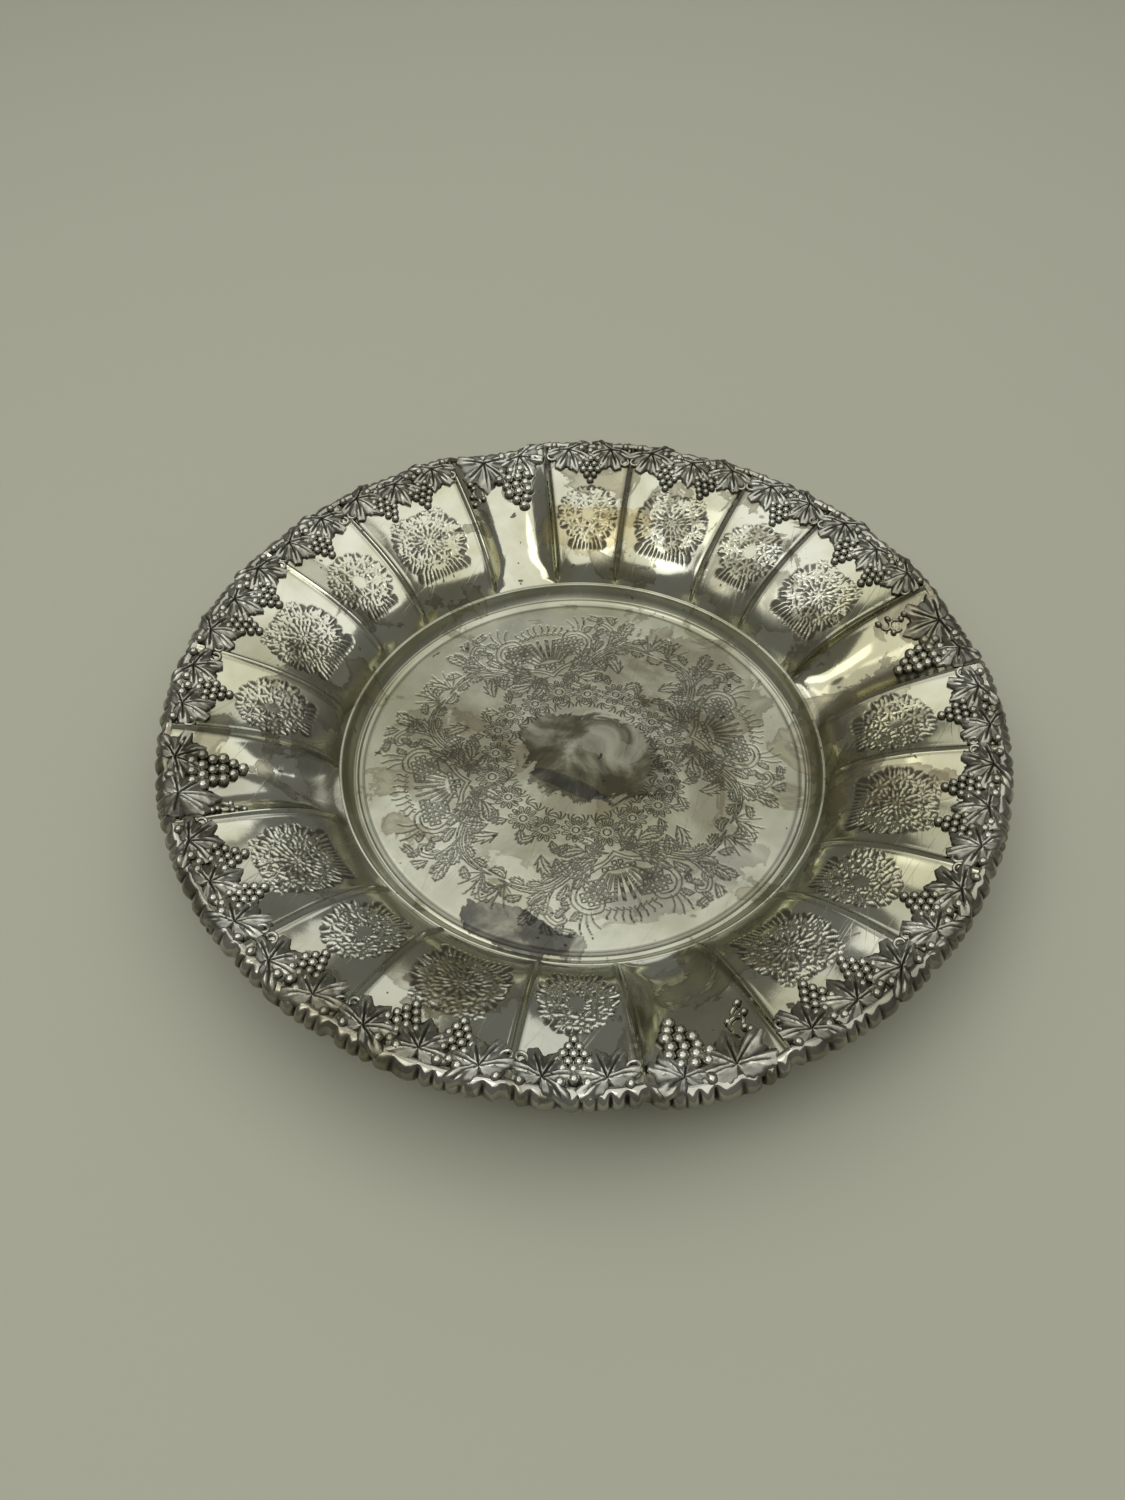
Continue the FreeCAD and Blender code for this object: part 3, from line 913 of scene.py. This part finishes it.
@dataclass
class WallSheet:
    """The raised wall, one quarter at a time from lobe to lobe, with ribs and chased panels."""

    wall: Wall
    chasing: Chasing = field(default_factory=Chasing)
    per_degree: float = 4.6
    back_darkness: float = 0.12

    def stations(self) -> np.ndarray:
        """Places along the section, closer together under the chased motifs."""
        low, high = self.chasing.middle - 15.5, self.chasing.middle + 15.5
        return np.concatenate([np.linspace(0, low, 19)[:-1], np.arange(low, high, 0.42),
                               np.linspace(high, self.wall.edge_s, 24)])

    def quarter(self, number: int, finish: bpy.types.Material) -> None:
        """Shape one quarter of the wall from a grid and give it the sheet's thickness.

        Args:
            number: which quarter, from 0.
            finish: its material.
        """
        form = self.wall.form
        mine = slice(number * len(CLOCKWISE), (number + 1) * len(CLOCKWISE))
        panels = panel_middles(form)[mine]
        counts = [round(form.span(panel) * self.per_degree) for panel, _ in panels]
        stations = self.stations()
        piece, column, row = grid(f"wall_sheet_{number + 1}", sum(counts), len(stations) - 1)
        along = stations[row]
        points, oxide_and_shade = np.zeros((len(row), 3)), np.zeros(len(row))
        first = 0
        for (panel, middle), count in zip(panels, counts):
            mine = np.flatnonzero((column >= first) & (column <= first + count))
            share = 2 * (column[mine] - first) / count - 1
            s = along[mine]
            half = np.radians(form.span(panel) / 2) * self.wall.radius(s)
            relief, deep = self.chasing.relief_at(panel, share * half, s)
            gap = (1 - np.abs(share)) * half
            rib = np.exp(-(gap / 0.62) ** 2) * smooth(0.5, 7, s)
            crease = np.exp(-((gap - 1.5) / 0.6) ** 2) * smooth(2, 9, s)
            relief = relief + form.rib_height * rib - 0.18 * crease
            points[mine] = self.wall.lift(panel, middle, share, s, relief)
            # the crease beside each rib is painted dark: oxide with painted shade along the rib
            oxide_and_shade[mine] = np.maximum(deep, 0.45 * crease)
            first += count
        set_points(piece, points * MM)
        set_oxide_and_shade(piece, oxide_and_shade)
        take(piece)
        solidify = piece.modifiers.new("sheet", "SOLIDIFY")
        solidify.thickness, solidify.offset = form.thickness * MM, -1
        bpy.ops.object.modifier_apply(modifier=solidify.name)
        faded = np.where(np.arange(len(piece.data.vertices)) < len(row), 1.0, self.back_darkness)
        set_oxide_and_shade(piece, oxide_and_shade_of(piece) * faded)
        settle(piece, finish, "sheet_silver", "dish_body")


@dataclass
class EdgeBand:
    """The soldered band: a rolled bead with an unevenly fluted skirt, plain only at the ribs."""

    wall: Wall
    columns: int = 2160
    skirt: float = 6.3
    flute_depth: float = 2.3

    def build(self, finish: bpy.types.Material) -> None:
        """Wrap a grid round the edge of the sheet to the band's section."""
        form = self.wall.form
        hem = -self.skirt + 0.3
        section = np.array([(-1.2, 0.25), (-0.4, 0.72), (0.5, 0.86), (1.4, 0.62), (2.4, 0.15), (3.4, -0.7),
                            (4.2, -1.9), (4.5, -3.3), (4.3, -4.8), (3.7, hem), (2.8, -self.skirt),
                            (2.0, hem), (1.6, -4.4), (1.0, -2.8), (0.2, -1.7), (-1.0, -1.3)])
        piece, column, row = grid("edge_band_roll", self.columns, len(section))
        out, up = section[row % len(section)].T.copy()
        bearing = -360.0 * column / self.columns
        placed = np.zeros((len(out), 3))
        hollow = np.zeros(len(out))
        for panel, middle in panel_middles(form):
            half = form.span(panel) / 2
            share = (np.mod(middle - bearing + 180, 360) - 180) / half
            mine = np.abs(share) <= 1.0001
            x = share[mine] * radians(half) * form.edge_radius
            cover = smooth(0.02, 0.12, 1 - np.abs(share[mine]))
            flute = np.abs(np.sin(x * 0.58 + 1.0 * np.sin(x * 0.23 + 1.7 * middle))) ** 0.7
            swell = 0.72 + 0.28 * np.sin(x * 0.41 + 2.3 * middle)
            edge = self.wall.face(panel, middle, share[mine], np.full(mine.sum(), self.wall.edge_s))
            low = np.clip((out[mine] - 0.3) / 2.6, 0, 1)
            cut = low * ((1 - cover) * 1.6 + cover * self.flute_depth * swell * (1 - flute))
            reach = np.hypot(edge[:, 0], edge[:, 1]) + out[mine] - cut
            drop = up[mine] - cover * 0.5 * low * (1 - flute)
            hollow[mine] = cover * low * (1 - smooth(0.15, 0.70, flute))
            placed[mine] = polar(reach, np.radians(bearing[mine]), edge[:, 2] + drop)
        set_points(piece, placed * MM)
        # oxide in the flute hollows, plus painted shade that darkens the skirt towards its bottom
        set_oxide_and_shade(piece, hollow + smooth(0.6, 3.0, -up) * 0.45)
        close_seams(piece)
        settle(piece, finish, "cast_silver", "edge_band")


@dataclass(frozen=True)
class Leaf:
    """A vine leaf of five lobes with sunk veins, laid flat with its stalk at the origin, tip along +Y."""

    length: float
    dome: float = 2.1
    sides: int = 80
    rings: int = 8
    rim_drop: float = 0.95
    outline: tuple = ((0, 1.00), (8, 0.94), (16, 0.83), (23, 0.77), (31, 0.86), (39, 0.94), (45, 0.98),
                      (53, 0.91), (62, 0.77), (71, 0.70), (80, 0.77), (90, 0.84), (99, 0.86), (110, 0.76),
                      (126, 0.58), (146, 0.44), (165, 0.30), (180, 0.18))

    def build(self) -> bpy.types.Object:
        """Inset a disc into rings, then shape outline, lobes, veins and dome."""
        clear_selection()
        bpy.ops.mesh.primitive_circle_add(vertices=self.sides, radius=1, fill_type="NGON")
        piece = named("leaf")
        with editing(piece):
            bpy.ops.mesh.select_all(action="SELECT")
            for _ in range(self.rings - 1):
                bpy.ops.mesh.inset(thickness=1 / self.rings * cos(pi / self.sides))
            bpy.ops.mesh.poke()
        flat = points_of(piece)
        out = np.clip(np.hypot(flat[:, 0], flat[:, 1]), 0, 1)
        angle = np.degrees(np.arctan2(flat[:, 0], flat[:, 1]))
        turn, share = np.array(self.outline).T
        rim = np.interp(np.abs(angle), turn, share) * (1 + 0.05 * np.cos(np.radians(angle) * 20) * out)
        x = self.length * rim * out * np.sin(np.radians(angle))
        y = self.length * rim * out * np.cos(np.radians(angle))
        lobes = np.array([0, 45, -45, 99, -99])
        nearest = np.abs(angle[:, None] - lobes).min(axis=1)
        vein_gap = np.radians(nearest) * out * rim * self.length
        vein = np.exp(-(vein_gap / 0.36) ** 2) * smooth(1.0, 0.72, out)
        fold = smooth(0.30, 1.0, np.clip(nearest / 23, 0, 1)) * smooth(0.12, 0.5, out)
        branch = np.exp(-((np.mod(out * 3.2 - nearest * 0.035, 1) - 0.5) / 0.12) ** 2)
        branch = branch * smooth(2, 5, nearest) * smooth(22, 14, nearest) * smooth(0.25, 0.4, out)
        height = 0.50 + 0.40 * (1 - out ** 2.6) + 0.30 * np.sin(pi * out) - 0.48 * fold
        height = self.dome * (height - 0.42 * vein - 0.10 * branch * smooth(1.0, 0.8, out))
        set_points(piece, np.stack([x, y, height], axis=1))
        # oxide in the sunk veins and folds; the darkened outer edge is a painted shadow line
        set_oxide_and_shade(piece, 0.95 * vein + 0.62 * fold + 0.42 * branch + 0.30 * smooth(0.93, 1.0, out))
        self.close(piece)
        return piece

    def close(self, piece: bpy.types.Object) -> None:
        """Turn the leaf's rim down to the sheet, close it underneath and paint its walls and underside fully
        dark as a painted shadow.
        """
        with editing(piece):
            drop_rim(self.rim_drop)
            bpy.ops.mesh.edge_face_add()
            face_outwards()
        points, layer = points_of(piece), piece.data.attributes["oxide_and_shade"]
        # painted shadow: the dropped walls and the underside are painted fully dark
        for index in np.flatnonzero(points[:, 2] < -0.15 * self.dome):
            layer.data[index].value = 1.0


@dataclass(frozen=True)
class Spray:
    """One kind of casting laid out flat: X across clockwise, Y outwards from the edge, in millimetres."""

    panel: Panel
    node: str
    leaves: tuple
    bunches: tuple
    curls: tuple
    grape: float
    beads: tuple = ()
    seat: float = -0.45

    def leaf_pieces(self) -> list[bpy.types.Object]:
        """The leaves: each placed by its stalk, its turn from outwards and its length."""
        made = []
        for x, y, turn, length in self.leaves:
            piece = Leaf(length).build()
            piece.location, piece.rotation_euler = (x, y, 0.15), (0, 0, radians(turn))
            made.append(piece)
        return made

    def ball(self, x: float, y: float, z: float, radius: float, fineness: int = 2) -> bpy.types.Object:
        """One grape or bead."""
        clear_selection()
        bpy.ops.mesh.primitive_ico_sphere_add(subdivisions=fineness, radius=radius, location=(x, y, z))
        piece = named("grape")
        points = points_of(piece)
        points[:, 2] = np.maximum(points[:, 2], self.seat - z)
        set_points(piece, points)
        # painted shade: each ball is darkened over its lower part, down to where it meets the sheet
        set_oxide_and_shade(piece, smooth(0.55, -0.10, points[:, 2] / radius))
        return piece

    def grape_pieces(self) -> list[bpy.types.Object]:
        """The grapes of each bunch, row by row down the wall, and the loose beads."""
        made = []
        for x, y, rows, lean in self.bunches:
            for row, count in enumerate(rows):
                for k in range(count):
                    side = (k - (count - 1) / 2) * 1.94 * self.grape
                    down = row * 1.70 * self.grape
                    size = self.grape * (1 + 0.06 * sin(7 * k + 3 * row + x))
                    made.append(self.ball(x + side + down * sin(lean), y - down * cos(lean),
                                          0.30 * self.grape, size, 3 if self.panel is Panel.LOBE else 2))
        made += [self.ball(x, y, 0.5 * radius, radius) for x, y, radius in self.beads]
        return made

    def curl_pieces(self) -> list[bpy.types.Object]:
        """Tendrils: a small round section spun about the curl's middle."""
        made = []
        for x, y, reach, start, sweep in self.curls:
            clear_selection()
            bpy.ops.mesh.primitive_circle_add(vertices=7, radius=0.62, fill_type="NGON",
                                              location=(x + reach * cos(start), y + reach * sin(start), 0.5),
                                              rotation=(pi / 2, 0, start))
            piece = named("curl")
            bpy.ops.object.transform_apply(location=True, rotation=True, scale=True)
            with editing(piece):
                bpy.ops.mesh.select_all(action="SELECT")
                bpy.ops.mesh.spin(steps=14, angle=sweep, center=(x, y, 0.5), axis=(0, 0, 1))
                face_outwards()
            # painted shade: each tendril is darkened over its lower half
            set_oxide_and_shade(piece, smooth(0.5, -0.1, points_of(piece)[:, 2]))
            made.append(piece)
        return made

    def pattern(self) -> bpy.types.Object:
        """The whole casting, flat."""
        return join(self.leaf_pieces() + self.grape_pieces() + self.curl_pieces(), self.node + "_pattern")


LOBE_SPRAY = Spray(
    Panel.LOBE, "lobe_casting", grape=2.15,
    leaves=((-6.4, -2.4, 176, 14.2), (10.0, -1.8, -160, 11.0)),
    bunches=((4.7, -7.6, (3, 4, 3, 3, 2, 1), 0.12),),
    curls=((-12.0, -17.5, 2.2, 0.6, 4.6), (-13.6, -21.0, 1.7, 2.4, 4.4)),
    beads=((-14.8, -12.6, 1.2), (-13.6, -14.6, 1.2), (-10.0, -19.6, 1.2), (-15.2, -19.2, 1.1),
           (-14.6, -23.4, 1.2), (2.2, -0.6, 2.0), (15.6, -4.0, 1.6)))

WIDE_SPRAY = Spray(
    Panel.WIDE, "wide_casting", grape=1.62,
    leaves=((-18.4, -2.2, -152, 11.4), (0.2, -2.8, 186, 11.6), (18.2, -2.0, 158, 11.2)),
    bunches=((-9.0, -6.8, (3, 4, 3, 2, 1), 0.12), (9.2, -6.8, (3, 4, 3, 2, 1), -0.12)),
    curls=((-24.2, -7.8, 1.8, 0.4, 4.8), (24.0, -7.6, 1.8, 2.4, -4.8)),
    beads=((-12.4, -1.2, 1.9), (-6.2, -1.4, 1.9), (6.6, -1.4, 1.9), (12.6, -1.2, 1.9), (-9.2, -2.8, 1.7),
           (9.4, -2.8, 1.7), (-24.2, -0.2, 1.6), (24.2, -0.2, 1.6)))

NARROW_SPRAY = Spray(
    Panel.NARROW, "narrow_casting", grape=1.62,
    leaves=((-9.2, -2.4, -160, 11.4), (9.6, -2.0, 152, 11.0)),
    bunches=((0.6, -6.4, (3, 4, 3, 2, 1), 0.0),),
    curls=((-16.6, -5.8, 2.0, 0.4, 4.8), (15.6, -8.2, 1.7, 2.4, -4.6)),
    beads=((-3.6, -1.2, 1.9), (4.4, -1.2, 1.9), (0.4, -2.6, 1.8), (-15.8, -0.2, 1.6), (16.0, -0.2, 1.6)))


@dataclass
class Castings:
    """The vine castings: each pattern is made once, then copied and bent to the wall of its panels."""

    wall: Wall
    inset: float = 0.9
    lead: float = 9.0
    sprays: tuple = (LOBE_SPRAY, WIDE_SPRAY, NARROW_SPRAY)

    def seat(self, spray: Spray, pattern: bpy.types.Object, number: int, middle: float,
             finish: bpy.types.Material) -> None:
        """Copy a pattern and bend it to the wall, over the edge too.

        Args:
            spray: the kind of casting.
            pattern: the flat casting.
            number: its number, from 1.
            middle: angle of its panel's middle, in degrees.
            finish: its material.
        """
        piece = pattern.copy()
        piece.data = pattern.data.copy()
        bpy.context.collection.objects.link(piece)
        piece.name = piece.data.name = f"{spray.node}_vine_{number}"
        flat = points_of(piece)
        along = self.wall.edge_s + flat[:, 1] - self.inset
        half = radians(self.wall.form.span(spray.panel) / 2) * self.wall.radius(along)
        set_points(piece, self.wall.lift(spray.panel, middle, flat[:, 0] / half, along, flat[:, 2]) * MM)
        settle(piece, finish, "cast_silver", f"{spray.node}_{number}")

    def build(self, finish: bpy.types.Material) -> None:
        """Make every casting."""
        patterns = [spray.pattern() for spray in self.sprays]
        for spray, pattern in zip(self.sprays, patterns):
            middles = sorted(np.mod(middle + self.lead, 360)
                             for panel, middle in panel_middles(self.wall.form) if panel is spray.panel)
            for number, middle in enumerate(middles, 1):
                self.seat(spray, pattern, number, middle - self.lead, finish)
        for pattern in patterns:
            bpy.data.objects.remove(pattern)


# ---------------------------------------------------------------- studio

@dataclass
class Studio:
    """Plain pale floor, soft lamps and the camera."""

    eye: tuple = (-0.07712, -0.25906, 0.34447)
    right: tuple = (0.96795, -0.25106, 0.00599)
    down: tuple = (-0.19257, -0.75734, -0.62399)
    forward: tuple = (0.16119, 0.60284, -0.78141)
    lens: float = 27.05
    floor_colour: tuple = (0.43, 0.43, 0.335, 1)
    floor_size: float = 24
    floor_gap: float = 0.3
    air: tuple = (0.20, 0.20, 0.195, 1)
    lamps: tuple = (("overhead_softbox", (0.05, -0.05, 1.6), 2.5, 23),
                    ("side_softbox", (-0.60, -0.25, 1.1), 0.60, 1.8),
                    ("back_softbox", (0.45, 0.85, 0.8), 0.45, 0.50),
                    ("far_softbox", (-0.45, 0.75, 1.05), 0.55, 0.80))

    def floor(self) -> None:
        """A wide plain floor, a hair below the dish so that the two never share a plane."""
        clear_selection()
        bpy.ops.mesh.primitive_plane_add(size=self.floor_size, location=(0, 0, -self.floor_gap * MM))
        floor = named("floor")
        bench = Bench("plain_floor")
        floor.data.materials.append(bench.finish(bench.node(
            "ShaderNodeBsdfPrincipled", {}, {"Base Color": self.floor_colour, "Roughness": 0.9})))

    def lamp(self, name: str, at: tuple, size: float, power: float) -> None:
        """A square soft lamp that looks at the dish."""
        clear_selection()
        bpy.ops.object.light_add(type="AREA", location=at)
        lamp = bpy.context.object
        lamp.name = name
        lamp.data.shape, lamp.data.size, lamp.data.energy = "SQUARE", size, power
        lamp.rotation_euler = (-Vector(at)).to_track_quat("-Z", "Y").to_euler()

    def camera(self) -> None:
        """The camera, by its eye and its axes."""
        clear_selection()
        bpy.ops.object.camera_add()
        camera = bpy.context.object
        axes = Matrix([self.right, [-v for v in self.down], [-v for v in self.forward]]).transposed()
        camera.matrix_world = Matrix.Translation(self.eye) @ axes.to_4x4()
        camera.data.lens, camera.data.sensor_width, camera.data.sensor_height = self.lens, 36, 36
        camera.data.sensor_fit = "AUTO"
        camera.data.clip_start = 0.01
        bpy.context.scene.camera = camera

    def build(self) -> None:
        """Set everything up."""
        self.floor()
        for lamp in self.lamps:
            self.lamp(*lamp)
        self.camera()
        scene = bpy.context.scene
        scene.view_settings.view_transform = "Standard"
        world = bpy.data.worlds.new("studio_air")
        world.use_nodes = True
        world.node_tree.nodes["Background"].inputs["Color"].default_value = self.air
        world.node_tree.nodes["Background"].inputs["Strength"].default_value = 1.0
        scene.world = world


WALL_SILVER = Silver("wall_silver", bright=(0.56, 0.565, 0.465, 1), warm=(0.42, 0.405, 0.26, 1),
                     tarnish=(0.24, 0.215, 0.135, 1), roughness=0.06, patch_level=0.56, patch_strength=0.85,
                     film=0.25, stains=(
                         Stain(8, -108, 17, 11, 0, (0.24, 0.24, 0.19, 1), 0.40, 0.9, 0.3),
                         Stain(-70, -93, 24, 13, -35, (0.22, 0.20, 0.12, 1), 0.75, 1.1, 0.2),
                         Stain(-98, -30, 13, 24, -10, (0.20, 0.185, 0.125, 1), 0.70, 1.3, 0.3),
                         Stain(-96, 22, 11, 34, 6, (0.20, 0.19, 0.15, 1), 0.65, 0.9, 0.2),
                         Stain(108, -14, 22, 12, 10, (0.20, 0.18, 0.13, 1), 0.75, 1.2, 0.3),
                         Stain(97, -58, 22, 9, -28, (0.22, 0.19, 0.12, 1), 0.80, 0.9, 0.3),
                         Stain(88, 54, 11, 24, 32, (0.18, 0.17, 0.12, 1), 0.75, 1.1, 0.3),
                         Stain(34, 104, 26, 9, -18, (0.42, 0.35, 0.16, 1), 0.55, 1.0, 0.2)))
WELL_SILVER = Silver("well_silver", bright=(0.44, 0.445, 0.35, 1), warm=(0.27, 0.265, 0.17, 1),
                     roughness=0.23, patch_level=0.57, patch_strength=0.7, dents=0.10, scratches=0.16,
                     film=0.65, stains=(
                         Stain(3, -1, 64, 56, -35, (0.17, 0.155, 0.10, 1), 0.55, 0.8, 0.1),
                         Stain(3, -1, 31, 21, -35, (0.10, 0.092, 0.058, 1), 1.0, 0.9, 0.5),
                         Stain(-7, -12, 20, 3.5, -42, (0.07, 0.07, 0.065, 1), 0.7, 1.2, 0.1),
                         Stain(12, 2, 13, 5, -35, (0.36, 0.35, 0.27, 1), 0.8, 1.0, 0.0),
                         Stain(-42, -67, 26, 8, -35, (0.12, 0.118, 0.10, 1), 1.0, 0.8, 0.4),
                         Stain(52, 26, 40, 24, -50, (0.19, 0.17, 0.11, 1), 0.70, 1.1, 0.2),
                         Stain(20, -64, 34, 10, 12, (0.20, 0.19, 0.155, 1), 0.55, 1.0, 0.1),
                         Stain(-58, 20, 26, 13, 70, (0.24, 0.23, 0.16, 1), 0.45, 1.2, 0.0)))
CAST_SILVER = Silver("cast_silver", bright=(0.54, 0.54, 0.465, 1), warm=(0.30, 0.285, 0.205, 1),
                     dull=(0.21, 0.21, 0.17, 1), oxide=(0.032, 0.030, 0.024, 1), roughness=0.15,
                     patch_level=0.60, dents=0.14, film=0.65)
# a darker copy of the cast silver for the band and skirt: painted shade
SHADED_BAND_SILVER = Silver("shaded_band_silver", bright=(0.50, 0.495, 0.42, 1), warm=(0.25, 0.235, 0.165, 1),
                     dull=(0.15, 0.145, 0.12, 1), oxide=(0.022, 0.020, 0.017, 1), roughness=0.08,
                     patch_level=0.54, dents=0.20, film=0.6)


def main() -> None:
    """Build the dish piece by piece, then the studio."""
    logging.basicConfig(level=logging.INFO, format="%(name)s: %(message)s")
    wall = Wall()
    WellSheet(wall.form).build(WELL_SILVER.build())
    wall_finish, cast_finish = WALL_SILVER.build(), CAST_SILVER.build()
    sheet = WallSheet(wall)
    for number in range(QUARTERS):
        sheet.quarter(number, wall_finish)
    EdgeBand(wall).build(SHADED_BAND_SILVER.build())
    Castings(wall).build(cast_finish)
    Studio().build()


if __name__ == "__main__":
    main()
